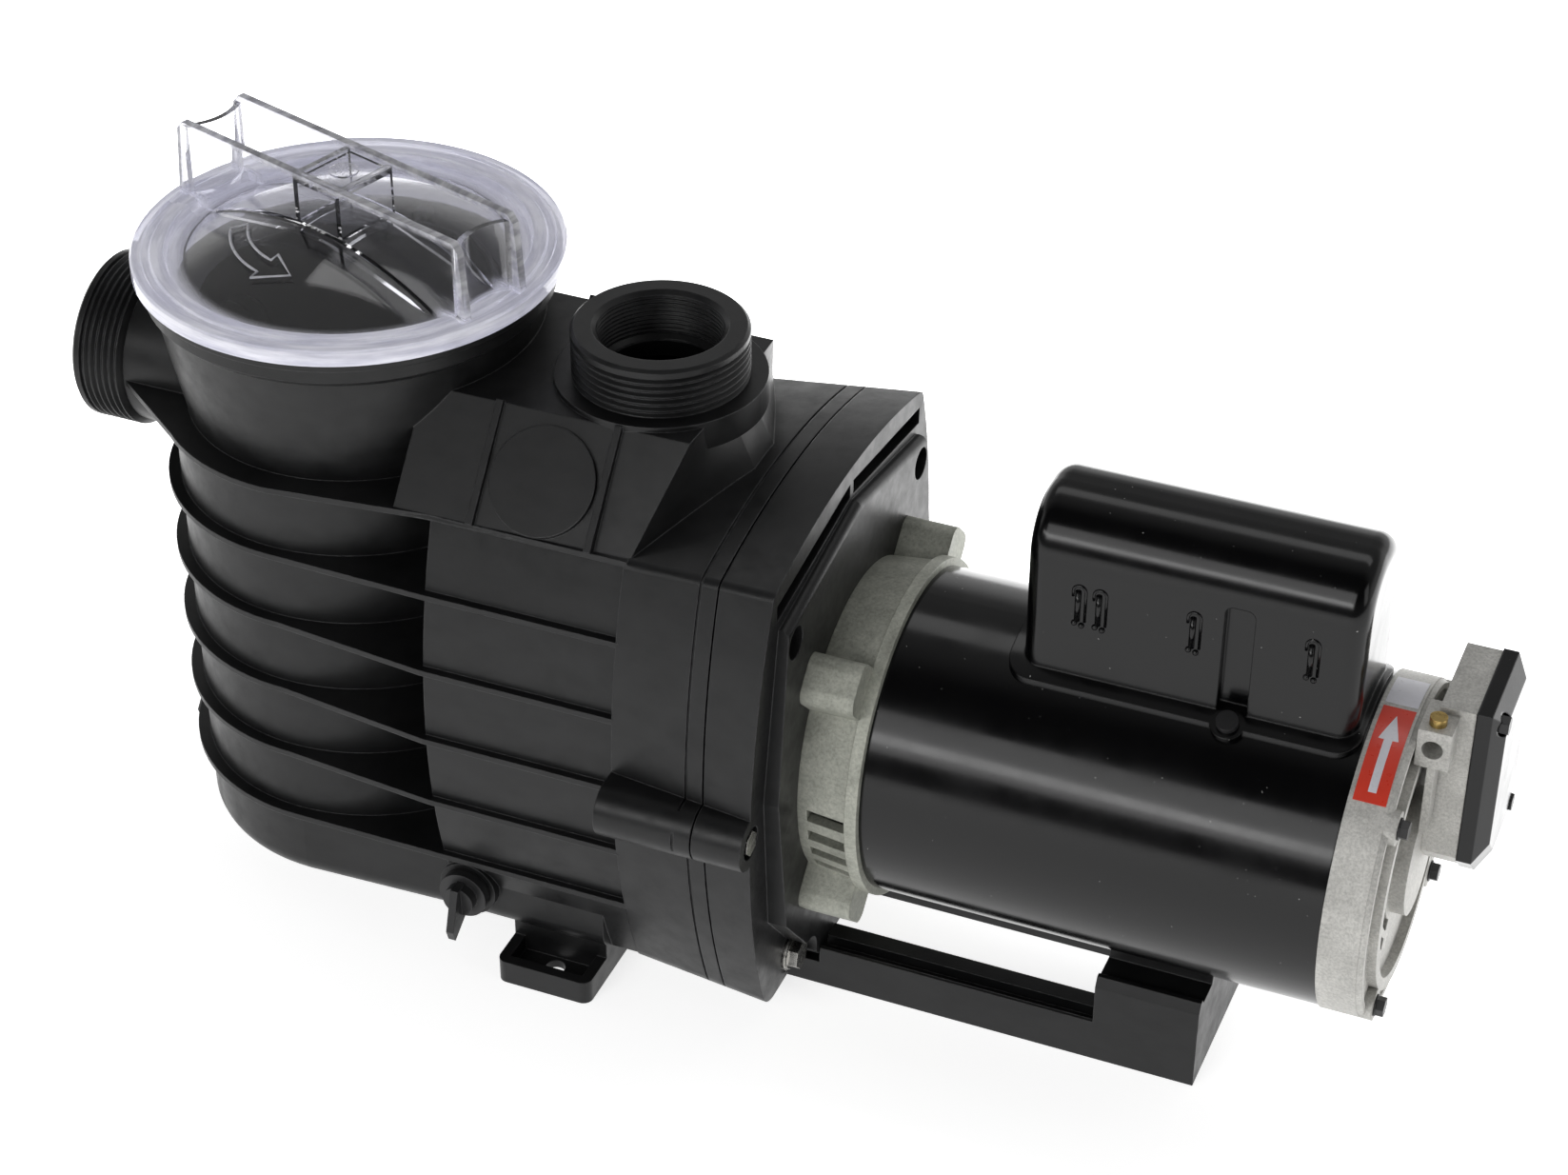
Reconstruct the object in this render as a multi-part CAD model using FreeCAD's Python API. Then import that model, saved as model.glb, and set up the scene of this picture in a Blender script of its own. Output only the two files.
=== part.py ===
import FreeCAD, Part
import math
import os

# Swimming-pool pump: a strainer pot and pump casing in one moulding, a
# bolted-on seal plate, and a standard-frame motor on a support rail.
# Millimetres.  Origin: on the ground, midway between the two foot bolts.
# +X runs along the motor shaft from strainer to motor, +Z is up.

os.makedirs("parts", exist_ok=True)
V = FreeCAD.Vector
X_DIR = V(1, 0, 0)
Y_DIR = V(0, 1, 0)
Z_DIR = V(0, 0, 1)

# ---- driving dimensions ----
SHAFT_Z = 135.3          # height of the motor shaft
POT_X = -138.0           # axis of the strainer pot
PORT_X = 22.5            # axis of the discharge port
SHELF_Z = 257.0          # top of the casing walls, axis of the suction port
WALL = 6.0               # moulded wall

UNION_R = 41.8           # outside of the union thread on both ports
PIPE_R = 29.6            # minor radius of the 2-inch female thread
BORE_R = 27.0            # plain bore behind the thread
MOUTH_R = 31.9           # countersink at the port mouth
DISCHARGE_Z = 329.4      # top face of the discharge port
SUCTION_X = -275.0       # end face of the suction port
COLLAR_Z = 304.5         # collar under the discharge port
NECK_X = -247.4          # neck behind the suction port

STRAINER_R = 90.0        # outside of the strainer chamber
RIB_R = 96.0             # outside of the ribs round it
RIB_Z = [61.3 + 39.1 * i for i in range(6)]
RIB_T = 3.0

SIDE_R = 330.0           # bulge radius of the casing sides
SIDE_Z = 143.0           # height of the widest point
CASE_Y = 102.5           # half-width of the casing there
CASE_X0 = -57.5          # front wall of the pump chamber
FLANGE_X0 = 41.5         # front of the casing flange
FLANGE_X1 = 90.0         # rear face of the casing flange
PLATE_X0 = 90.9          # front face of the seal plate, on its gasket
PLATE_X1 = 118.0         # rim face of the seal plate, near its top
PLATE_LEAN = 6.0         # how far that face leans in at the bottom
LOW_SEAT_X = 112.0       # seats of the two low bolts
PAD_X1 = 123.0           # motor face of the seal plate
BASE_Z = 14.0            # underside of casing and flange

FOOT_BOLT_Y = 91.0
LUG_Y = 114.0
LUG_Z = 137.0
TOP_BOLT_Y = 80.0
TOP_BOLT_Z = 230.0
LOW_BOLT_Y = 61.0
LOW_BOLT_Z = 28.0

LID_R = 102.8
LID_Z0 = 331.3           # underside of the lid rim
LID_Z1 = 339.0           # top of the lid rim
LID_TURN = -17.9         # direction of the lid grip, degrees from +X
BAIL_Z = 312.5           # pivot height of the basket handle
BAIL_WIRE_R = 2.0

SHAFT_R = 7.94
SHELL_R = 79.45
SHELL_T = 2.0
RING_X0 = 148.5          # motor flange ring
SHELL_X0 = 154.5
SHELL_X1 = 373.4
SHIELD_X1 = 397.5        # rear face of the end shield ring
MOTOR_BOLT_R = 73.0
BOLT_ANGLES = [45, 135, 225, 315]

RAIL_Y = 47.2
RAIL_IN = 27.0           # inner side of each rail
RAIL_TOP = 23.0
RAIL_X0 = 98.0           # tip of the tongues under the seal plate
RAIL_X1 = 315.4
RAIL_BOLT_X = 108.0
RAIL_BOLT_Y = 37.0
SADDLE_X0 = 264.0
PAD_T = 3.3              # rubber between saddle and motor shell

COVER_X0 = 213.0
COVER_X1 = 369.5
COVER_HALF = 31.0
COVER_TOP = 296.6
LIP_T = 3.0              # thickness of the lip on the shell
FLUTE_DEPTH = 5.0        # groove above each cover screw


# ---- helpers ----
def box(x0, x1, y0, y1, z0, z1):
    return Part.makeBox(x1 - x0, y1 - y0, z1 - z0, V(x0, y0, z0))


def rod_x(x0, x1, radius, y=0.0, z=SHAFT_Z):
    return Part.makeCylinder(radius, x1 - x0, V(x0, y, z), X_DIR)


def rod_y(y0, y1, radius, x, z):
    return Part.makeCylinder(radius, y1 - y0, V(x, y0, z), Y_DIR)


def rod_z(z0, z1, radius, x, y=0.0):
    return Part.makeCylinder(radius, z1 - z0, V(x, y, z0), Z_DIR)


def tube_x(x0, x1, outer, inner, y=0.0, z=SHAFT_Z):
    return rod_x(x0, x1, outer, y, z).cut(rod_x(x0 - 1, x1 + 1, inner, y, z))


def tube_z(z0, z1, outer, inner, x, y=0.0):
    return rod_z(z0, z1, outer, x, y).cut(rod_z(z0 - 1, z1 + 1, inner, x, y))


def face(points):
    return Part.Face(Part.makePolygon(points + [points[0]]))


def prism(points, direction):
    return face(points).extrude(direction)


def lathe_x(points, y=0.0, z=SHAFT_Z):
    """Turn (radius, x) points about an X axis."""
    ring = face([V(x, y + r, z) for r, x in points])
    return ring.revolve(V(0, y, z), X_DIR, 360)


def lathe_z(points, x, y=0.0):
    """Turn (radius, z) points about a Z axis."""
    ring = face([V(x + r, y, z) for r, z in points])
    return ring.revolve(V(x, y, 0), Z_DIR, 360)


def fuse(shapes):
    result = shapes[0]
    for shape in shapes[1:]:
        result = result.fuse(shape)
    return result.removeSplitter()


def carve(shape, cutters):
    for cutter in cutters:
        shape = shape.cut(cutter)
    return shape


def mirror_y(shape):
    return shape.mirror(V(0, 0, 0), Y_DIR)


def both_sides(shape):
    return [shape, mirror_y(shape)]


def spin_x(shape, angle, y=0.0, z=SHAFT_Z):
    turned = shape.copy()
    turned.rotate(V(0, y, z), X_DIR, angle)
    return turned


def soften(shape, radius, test):
    """Fillet the edges that pass the test."""
    chosen = [e for e in shape.Edges if test(e)]
    return shape.makeFillet(radius, chosen)


def along(edge, direction):
    if not isinstance(edge.Curve, (Part.Line, Part.LineSegment)):
        return False
    ends = edge.Vertexes
    run = ends[-1].Point.sub(ends[0].Point)
    return run.Length > 0 and abs(run.dot(direction)) / run.Length > 0.999


def ridges(r_crest, r_root, start, pitch, count):
    """Outline points (radius, height) of a run of thread ridges."""
    points = []
    for i in range(count):
        low = start + i * pitch
        points.append((r_root, low))
        points.append((r_crest, low + 0.45 * pitch))
        points.append((r_crest, low + 0.55 * pitch))
    points.append((r_root, start + count * pitch))
    return points


def hex_rod_x(x0, x1, across_flats, y, z, turn=0):
    corner = across_flats / math.sqrt(3)
    points = []
    for i in range(6):
        a = math.radians(60 * i + turn)
        points.append(V(x0, y + corner * math.cos(a), z + corner * math.sin(a)))
    return prism(points, V(x1 - x0, 0, 0))


# ---- casing outline ----
def side_y(z, widest):
    """Half-width at height z of a bulged side."""
    return widest - SIDE_R + math.sqrt(SIDE_R ** 2 - (z - SIDE_Z) ** 2)


def case_wire(x, widest, z_bottom, z_top, crown):
    """Section across the shaft: bulged sides and a flat or arched top."""
    top = side_y(z_top, widest)
    bottom = side_y(z_bottom, widest)
    a = V(x, -bottom, z_bottom)
    b = V(x, -top, z_top)
    c = V(x, top, z_top)
    d = V(x, bottom, z_bottom)
    left = Part.Arc(a, V(x, -widest, SIDE_Z), b).toShape()
    over = Part.Arc(b, V(x, 0, crown), c).toShape()
    right = Part.Arc(c, V(x, widest, SIDE_Z), d).toShape()
    under = Part.makeLine(d, a)
    return Part.Wire([left, over, right, under])


def case_block(x0, x1, section):
    """Straight block with one section from end to end."""
    return Part.Face(case_wire(x0, *section)).extrude(V(x1 - x0, 0, 0))


def flared_block(x0, x1, front, rear):
    wires = [case_wire(x0, *front), case_wire(x1, *rear)]
    return Part.makeLoft(wires, True, True)


def flange_section(x):
    """The flange flares from the casing towards the motor."""
    t = (x - FLANGE_X0) / (PLATE_X1 - FLANGE_X0)
    widest = 106.5 + 9.5 * t
    z_top = 256.5 + 6.0 * t
    crown = z_top + 10.0 + 2.5 * t
    return (widest, BASE_Z, z_top, crown)


def flange_block(x0, x1):
    block = flared_block(x0, x1, flange_section(x0), flange_section(x1))
    top_corner = lambda e: e.CenterOfMass.z > 240 and abs(e.CenterOfMass.y) > 60
    low_corner = lambda e: e.CenterOfMass.z < 30 and abs(e.CenterOfMass.y) > 60
    is_long = lambda e: e.BoundBox.XLength > 0.9 * (x1 - x0)
    block = soften(block, 6, lambda e: is_long(e) and top_corner(e))
    return soften(block, 16, lambda e: is_long(e) and low_corner(e))


def bolt_lugs(x0, x1):
    """Barrel-shaped bolt bosses half-way up each side of the flange."""
    barrel = rod_x(x0, x1, 14, LUG_Y, LUG_Z)
    web = box(x0, x1, 85, LUG_Y, LUG_Z - 14, LUG_Z + 14)
    return both_sides(barrel.fuse(web))


def flange_bolt_places():
    places = []
    for side in (-1, 1):
        places.append((side * TOP_BOLT_Y, TOP_BOLT_Z))
        places.append((side * LUG_Y, LUG_Z))
        places.append((side * LOW_BOLT_Y, LOW_BOLT_Z))
    return places


# ---- pump casing ----
def plan_outline(z, radius, front_y, rear_x):
    """Strainer arc drawn out to the casing side, as seen from above."""
    start = V(POT_X, -radius, z)
    west = V(POT_X - radius, 0, z)
    end = V(POT_X, radius, z)
    arc = Part.Arc(start, west, end).toShape()
    corners = [
        end,
        V(CASE_X0, front_y, z),
        V(rear_x, front_y, z),
        V(rear_x, -front_y, z),
        V(CASE_X0, -front_y, z),
        start,
    ]
    lines = [Part.makeLine(p, q) for p, q in zip(corners, corners[1:])]
    return Part.Face(Part.Wire([arc] + lines))


def casing_rib(z):
    reach = side_y(z, CASE_Y + 4.0)
    sheet = plan_outline(z - RIB_T / 2, RIB_R, reach, FLANGE_X0 + 1.5)
    return sheet.extrude(V(0, 0, RIB_T))


def suction_gusset():
    """Triangular web from the suction neck to the strainer shelf."""
    points = [V(NECK_X, -38, SHELF_Z - RIB_T), V(NECK_X, 38, SHELF_Z - RIB_T)]
    points += [V(POT_X - 62, 73, SHELF_Z - RIB_T)]
    points += [V(POT_X - 62, -73, SHELF_Z - RIB_T)]
    return prism(points, V(0, 0, RIB_T))


def strainer_body():
    """Round chamber standing on a base drawn out towards the flange."""
    upper = rod_z(RIB_Z[0], SHELF_Z, STRAINER_R, POT_X)
    base = plan_outline(18, STRAINER_R, 87, 25)
    base = base.extrude(V(0, 0, RIB_Z[0] - 18))
    base = soften(base, 11, lambda e: e.BoundBox.ZMax < 18.1
                  and e.BoundBox.XMin < 20)
    return fuse([upper, base])


def pot_collar():
    outline = [
        (0, 240), (83, 240), (83, 256), (84.5, 264), (94.5, 316),
        (98, 319.5), (98, 325.5), (100.5, 327), (100.5, 331), (0, 331),
    ]
    return lathe_z(outline, POT_X)


def deck_block(inset):
    """Hipped deck that carries the discharge port."""
    i = inset
    low_z = 255.0 if inset == 0 else 245.0
    top_z = 302.0 - i
    low = [
        V(-75, -88.6 + i, low_z), V(43 - i, -85.5 + i, low_z),
        V(81 - i, -12, low_z), V(81 - i, 12, low_z),
        V(43 - i, 85.5 - i, low_z), V(-75, 88.6 - i, low_z),
    ]
    top = [
        V(-75, -50 + i, top_z), V(58.5 - i, -49 + i, top_z),
        V(59.5 - i, -10, top_z), V(59.5 - i, 10, top_z),
        V(58.5 - i, 49 - i, top_z), V(-75, 50 - i, top_z),
    ]
    wires = [Part.makePolygon(ring + [ring[0]]) for ring in (low, top)]
    return Part.makeLoft(wires, True, True)


def deck_bars():
    """Two raised bars that frame a round blank badge on each slope."""
    lean = math.atan2(302 - SHELF_Z, 87 - 50)
    run = math.hypot(302 - SHELF_Z, 87 - 50) + 1
    bars = []
    for x in (-37.5, 22.0):
        bar = Part.makeBox(3.5, run, 6, V(x, 0, -4))
        bars.append(bar)
    badge = Part.makeCylinder(26, 6, V(-6, 27, -4.8), Z_DIR)
    group = Part.makeCompound(bars + [badge])
    group.rotate(V(0, 0, 0), X_DIR, math.degrees(lean))
    group.translate(V(0, -87, SHELF_Z))
    solids = list(group.Solids)
    return solids + [mirror_y(s) for s in solids]


def port_outline():
    """(radius, depth from the mouth) of a union port, threads outside."""
    pitch = 3.6
    threads = ridges(UNION_R, UNION_R - 1.9, 5.2, pitch, 6)
    points = [(0, 0), (UNION_R - 1.6, 0), (UNION_R, 1.6), (UNION_R, 4.4)]
    points += threads
    points += [(UNION_R - 3.0, 27.6), (0, 27.6)]
    return points


def port_bore(depth):
    """(radius, depth) of the bore: countersink, pipe thread, plain bore."""
    pitch = 2.2
    threads = ridges(PIPE_R, PIPE_R + 0.9, 2.6, pitch, 9)
    points = [(0, -1), (MOUTH_R + 1, -1), (PIPE_R, 2.4)]
    points += threads
    points += [(PIPE_R, 22.6), (BORE_R, 25), (BORE_R, depth), (0, depth)]
    return points


def turned_down(points, top_z, x):
    return lathe_z([(r, top_z - d) for r, d in points], x)


def turned_in(points, end_x):
    return lathe_x([(r, end_x + d) for r, d in points], 0, SHELF_Z)


def discharge_port():
    """Threaded end that stands on the collar of the deck."""
    port = turned_down(port_outline(), DISCHARGE_Z, PORT_X)
    port = port.common(rod_z(COLLAR_Z, DISCHARGE_Z, 50, PORT_X))
    return port.cut(turned_down(port_bore(90), DISCHARGE_Z, PORT_X))


def suction_port():
    """Threaded end in front of the suction neck."""
    port = turned_in(port_outline(), SUCTION_X)
    return port.cut(turned_in(port_bore(80), SUCTION_X))


def feet():
    block = box(-25, 25, 60, 106, 0, 13)
    block = soften(block, 5, lambda e: along(e, Z_DIR) and e.CenterOfMass.y > 90)
    riser = box(-25, 25, 60, 84, 0, 22)
    pocket = box(-19.5, 19.5, 84, 100.5, 4.5, 14)
    hole = rod_z(-1, 14, 5, 0, FOOT_BOLT_Y)
    foot = block.fuse(riser).cut(pocket).cut(hole)
    return both_sides(foot)


def strainer_cavity():
    outline = [
        (0, 26), (78, 26), (84, 32), (84, 246), (78.5, 252), (78.5, 262),
        (83, 305.5), (88, 305.5), (88, 332), (0, 332),
    ]
    return lathe_z(outline, POT_X)


def pump_chamber():
    inner = (CASE_Y - WALL, 21, SHELF_Z - WALL, SHELF_Z - WALL + 0.4)
    room = case_block(CASE_X0 + WALL, FLANGE_X1 + 1, inner)
    deck = deck_block(WALL)
    room = room.fuse(deck.common(box(-46, 80, -100, 100, 245, 300)))
    pot_wall = rod_z(0, 400, STRAINER_R, POT_X)
    eye = rod_x(CASE_X0, -38, 37)
    return room.cut(pot_wall).cut(eye)


def gasket_track(x0, x1, out, inside):
    """Band that follows the chamber mouth."""
    outer = (CASE_Y - WALL + out, 21 - out, 251 + out, 251.4 + out)
    inner = (CASE_Y - WALL + inside, 21 - inside, 251 + inside, 251.4 + inside)
    band = case_block(x0, x1, outer)
    return band.cut(case_block(x0 - 1, x1 + 1, inner))


def drain_places():
    """(point, axis) of the two drain bosses, at their outer faces."""
    front = (V(-46, -92, 41), V(0, -1, 0))
    side = (V(-138 - 93, 0, 41), V(-1, 0, 0))
    return [front, side]


def drain_boss(place):
    point, axis = place
    start = point - axis * 12
    return Part.makeCylinder(15, 12, start, axis)


def drain_hole(place):
    point, axis = place
    start = point - axis * 30
    return Part.makeCylinder(8.3, 40, start, axis)


def pump_housing():
    case = case_block(CASE_X0, FLANGE_X0 + 3,
                      (CASE_Y, BASE_Z + 2, SHELF_Z - 1, SHELF_Z - 0.6))
    solids = [strainer_body(), case, pot_collar(), deck_block(0)]
    solids += [casing_rib(z) for z in RIB_Z[:-1]]
    solids += [casing_rib(SHELF_Z - RIB_T / 2)]
    solids += [suction_gusset()]
    solids += deck_bars()
    solids += [rod_z(290, COLLAR_Z, 50, PORT_X)]
    solids += [rod_x(NECK_X, NECK_X + 33, UNION_R - 3, 0, SHELF_Z)]
    solids += [flange_block(FLANGE_X0, FLANGE_X1)]
    solids += bolt_lugs(FLANGE_X0, FLANGE_X1)
    solids += feet()
    solids += [drain_boss(p) for p in drain_places()]
    body = fuse(solids)

    cutters = [strainer_cavity(), pump_chamber()]
    cutters += [turned_down(port_bore(90), DISCHARGE_Z, PORT_X)]
    cutters += [turned_in(port_bore(80), SUCTION_X)]
    cutters += [rod_x(-75, -37, 27)]
    cutters += [tube_z(326.6, 332, 95.6, 90.6, POT_X)]
    cutters += [gasket_track(86.8, FLANGE_X1 + 1, 6.2, 1.8)]
    for y, z in flange_bolt_places():
        cutters.append(rod_x(62, FLANGE_X1 + 1, 5.6, y, z))
    cutters += [drain_hole(p) for p in drain_places()]
    cutters += [seam_groove(81.4)]
    return carve(body, cutters)


def seam_groove(x):
    """Shallow V-shaped line round the flange."""
    outer = case_block(x - 0.6, x + 0.6, (140, 0, 300, 320))
    widest, low, top, crown = flange_section(x)
    core = (widest - 1.2, low + 1.2, top - 1.2, crown - 1.2)
    lugs = bolt_lugs(x - 2, x + 2)
    keep = case_block(x - 2, x + 2, core).multiFuse(
        [s.common(box(0, 200, -LUG_Y - 12.8, LUG_Y + 12.8,
                      LUG_Z - 12.8, LUG_Z + 12.8)) for s in lugs])
    return outer.cut(keep)


def drain_plug(place):
    """Threaded stem, round head and a flat wing to turn it by."""
    point, axis = place
    stem = Part.makeCylinder(7.9, 17.5, point - axis * 15, axis)
    head = Part.makeCylinder(12.5, 4, point + axis * 1.8, axis)
    hub = Part.makeCylinder(8, 9, point + axis * 2, axis)
    side = axis.cross(Z_DIR)
    root = point + axis * 5
    wing = [
        root + Z_DIR * 9 - side * 2, root + Z_DIR * 9 + axis * 9 - side * 2,
        root - Z_DIR * 12 + axis * 16 - side * 2, root - Z_DIR * 18 + axis * 14 - side * 2,
        root - Z_DIR * 9 - side * 2,
    ]
    blade = prism(wing, side * 4)
    return fuse([stem, head, hub, blade])


def drain_seal(place):
    point, axis = place
    ring = Part.makeCylinder(12, 1.4, point + axis * 0.2, axis)
    return ring.cut(Part.makeCylinder(8.6, 4, point - axis, axis))


# ---- strainer lid and basket ----
def lid_body():
    dome_r = 178.0
    rise = 18.0
    edge_r = 78.0
    top_z = 335.0 + rise
    thick = 4.0
    half = math.asin(edge_r / dome_r) / 2
    centre_z = top_z - dome_r
    mid = V(POT_X + dome_r * math.sin(half), 0, centre_z + dome_r * math.cos(half))
    inner_r = dome_r - thick
    inner = V(POT_X + inner_r * math.sin(half), 0, centre_z + inner_r * math.cos(half))
    edge = V(POT_X + edge_r, 0, 335)
    inner_edge_r = inner_r * math.sin(2 * half)
    inner_edge = V(POT_X + inner_edge_r, 0, centre_z + inner_r * math.cos(2 * half))
    rim = [
        edge, V(POT_X + 85.5, 0, 335), V(POT_X + 87, 0, LID_Z1),
        V(POT_X + 93, 0, LID_Z1), V(POT_X + 94, 0, LID_Z1 - 1),
        V(POT_X + 97, 0, LID_Z1 - 1), V(POT_X + 98, 0, LID_Z1),
        V(POT_X + LID_R - 1, 0, LID_Z1), V(POT_X + LID_R, 0, LID_Z1 - 1),
        V(POT_X + LID_R, 0, LID_Z0), V(POT_X + 87.6, 0, LID_Z0),
        V(POT_X + 87.6, 0, 318), V(POT_X + 84, 0, 318),
        V(POT_X + 84, 0, 331), inner_edge,
    ]
    edges = [Part.makeLine(p, q) for p, q in zip(rim, rim[1:])]
    crown = V(POT_X, 0, top_z)
    crown_in = V(POT_X, 0, top_z - thick)
    edges.append(Part.Arc(inner_edge, inner, crown_in).toShape())
    edges.append(Part.makeLine(crown_in, crown))
    edges.append(Part.Arc(crown, mid, edge).toShape())
    section = Part.Face(Part.Wire(edges))
    return section.revolve(V(POT_X, 0, 0), Z_DIR, 360)


def lid_grip():
    """Two upright plates joined by scooped ends and a bridged centre."""
    top = 378.0
    low = 333.0
    plates = []
    for y in (-20.0, 16.0):
        side = [
            V(-97, y, low), V(-93.5, y, top - 4), V(-90, y, top),
            V(90, y, top), V(93.5, y, top - 4), V(97, y, low),
        ]
        plates.append(prism(side, V(0, 4, 0)))
    ends = []
    for x in (-112.0, 112.0):
        ring = rod_z(low, top - 3, 29, x).cut(rod_z(low - 1, top, 26, x))
        ends.append(ring.common(box(-96, 96, -17, 17, low, top)))
    webs = [box(x - 1.5, x + 1.5, -17, 17, low + 5, top - 1.5) for x in (-14, 14)]
    bridge = box(-14, 14, -17, 17, top - 6, top - 3)
    button = rod_z(top - 4, top - 2, 7, 0)
    grip = fuse(plates + ends + webs + [bridge, button])
    grip.translate(V(POT_X, 0, 0))
    grip.rotate(V(POT_X, 0, 0), Z_DIR, LID_TURN)
    return grip


def lid():
    body = lid_body()
    space_under = lathe_z([(0, 300), (84, 300), (84, 331), (76, 331.8), (0, 349)], POT_X)
    grip = lid_grip().cut(space_under)
    return fuse([body, grip])


def lid_ring():
    return Part.makeTorus(93.1, 1.95, V(POT_X, 0, 329.1), Z_DIR)


def strainer_basket():
    wall = 2.4
    outer = [
        (0, 38), (66, 38), (70, 42), (75.6, 302), (75.6, 305.7),
        (87.4, 305.7), (87.4, 309), (73.0, 309), (66.8, 44.4), (0, 44.4 - wall),
    ]
    basket = lathe_z(outer, POT_X)
    slots = []
    for i in range(16):
        angle = 360.0 * i / 16 + 11.25
        for z0, z1 in ((58, 150), (160, 215)):
            slot = box(POT_X + 60, POT_X + 82, -3, 3, z0, z1)
            slot.rotate(V(POT_X, 0, 0), Z_DIR, angle)
            slots.append(slot)
    for i in range(8):
        hole = box(POT_X + 16, POT_X + 56, -3, 3, 30, 48)
        hole.rotate(V(POT_X, 0, 0), Z_DIR, 45.0 * i)
        slots.append(hole)
    inlet = rod_x(POT_X - 90, POT_X - 40, 31, 0, SHELF_Z)
    ear = box(POT_X - 5, POT_X + 5, 74.5, 79.5, 308, 316.5)
    ear = soften(ear, 3, lambda e: along(e, Y_DIR) and e.CenterOfMass.z > 310)
    basket = fuse([basket] + both_sides(ear))
    pivot = rod_y(-90, 90, BAIL_WIRE_R + 0.07, POT_X, BAIL_Z)
    return basket.cut(Part.makeCompound(slots + [inlet])).cut(pivot)


def basket_bail():
    """Wire handle, folded flat across the basket mouth."""
    radius = 68.0
    start = V(POT_X, -radius, BAIL_Z)
    end = V(POT_X, radius, BAIL_Z)
    bow = Part.Wire([Part.Arc(start, V(POT_X + radius, 0, BAIL_Z), end).toShape()])
    ring = Part.Wire([Part.makeCircle(BAIL_WIRE_R, start, X_DIR)])
    loop = bow.makePipeShell([ring], True, False)
    pin = rod_y(radius, 80.6, BAIL_WIRE_R, POT_X, BAIL_Z)
    return fuse([loop] + both_sides(pin))


# ---- seal plate and pump internals ----
def plate_pockets():
    """Hollows behind the arched top edge, split by a rib."""
    outer = [V(104, 2, 259), V(104, 2, 266.5), V(104, 90, 255), V(104, 90, 246)]
    pocket = prism(outer, V(20, 0, 0))
    return both_sides(pocket)


def plate_rim():
    """Rim and lugs, their rear face leaning in towards the bottom."""
    rim = fuse([flange_block(PLATE_X0, PLATE_X1)]
               + bolt_lugs(PLATE_X0, PLATE_X1))
    beyond = prism([
        V(PLATE_X1 - PLATE_LEAN, -150, BASE_Z), V(PLATE_X1, -150, SHELF_Z),
        V(PLATE_X1 + 20, -150, SHELF_Z), V(PLATE_X1 + 20, -150, BASE_Z),
    ], V(0, 300, 0))
    return rim.cut(beyond)


def plate_pad():
    """Raised face that carries the motor adapter."""
    half = [(88, 241), (100, 150), (90, 70), (48, 20)]
    pad = [V(110, 0, 257)] + [V(110, y, z) for y, z in half]
    pad += [V(110, -y, z) for y, z in reversed(half)]
    raised = prism(pad, V(PAD_X1 - 110, 0, 0))
    return soften(raised, 4, lambda e: e.BoundBox.XMin > PAD_X1 - 0.1
                  and e.CenterOfMass.z > 245)


def seal_plate():
    body = fuse([plate_rim(), plate_pad()])
    front_room = case_block(FLANGE_X1 - 1, 97, (88, 30, 242, 246))
    boss = tube_x(PLATE_X0, 98, 84, 81.6)
    hub = rod_x(91.5, 100, 26)
    seat = rod_x(91, 104, 16.2)
    clear = rod_x(80, 130, 11)
    rear = tube_x(110, 130, 62, 30)
    body = body.cut(front_room).fuse(hub).fuse(boss).cut(seat).cut(clear).cut(rear)
    for y, z in flange_bolt_places():
        body = body.cut(rod_x(80, 130, 5.2, y, z))
    for y, z in flange_bolt_places():
        if z < 50:
            body = body.cut(rod_x(LOW_SEAT_X, 130, 10.5, y, z))
        else:
            body = body.cut(rod_x(108, 130, 8.2, y, z))
    for pocket in plate_pockets():
        body = body.cut(pocket)
    for angle in BOLT_ANGLES:
        y, z = lug_centre(angle)
        body = body.cut(rod_x(106, 130, 4.2, y, z))
    for y in (-RAIL_BOLT_Y, RAIL_BOLT_Y):
        body = body.cut(rod_z(BASE_Z - 1, 31, 3.15, RAIL_BOLT_X, y))
    return body


def housing_gasket():
    return gasket_track(87.0, PLATE_X0, 6.0, 2.0)


def plate_bolt(y, z, head_x, washer_r, flats):
    """Hex bolt with a washer, head towards the motor."""
    shank = rod_x(66, head_x + 1, 4.0, y, z)
    washer = rod_x(head_x, head_x + 1.6, washer_r, y, z)
    head = hex_rod_x(head_x + 1.6, head_x + 7.4, flats, y, z, 15)
    flange = rod_x(head_x + 1.6, head_x + 2.8, washer_r - 0.8, y, z)
    return fuse([shank, washer, flange, head])


def seal_plate_bolts():
    bolts = []
    for y, z in flange_bolt_places():
        if z < 50:
            bolts.append(plate_bolt(y, z, LOW_SEAT_X, 9.2, 13.0))
        else:
            bolts.append(plate_bolt(y, z, 108.0, 7.8, 11.2))
    return Part.makeCompound(bolts)


def bolt_inserts():
    """Threaded inserts moulded into the casing flange."""
    inserts = []
    for y, z in flange_bolt_places():
        inserts.append(tube_x(64, 86, 5.6, 4.1, y, z))
    return Part.makeCompound(inserts)


def diffuser():
    outline = [
        (25.0, -58), (25.0, -34), (32, -20), (40, 20), (79, 44), (79, 93),
        (81.2, 93), (81.2, 42.5), (42.5, 18), (34.5, -20.8), (26.9, -36),
        (26.9, -44), (25.4, -44), (25.4, -50), (26.9, -50), (26.9, -58),
    ]
    shell = lathe_x([(r, x) for r, x in outline])
    slots = []
    for i in range(8):
        slot = box(66, 84, -9, 9, SHAFT_Z + 70, SHAFT_Z + 90)
        slots.append(spin_x(slot, 45 * i + 22.5))
    return shell.cut(Part.makeCompound(slots))


def diffuser_ring():
    return Part.makeTorus(26.2, 0.7, V(-47, 0, SHAFT_Z), X_DIR)


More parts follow.
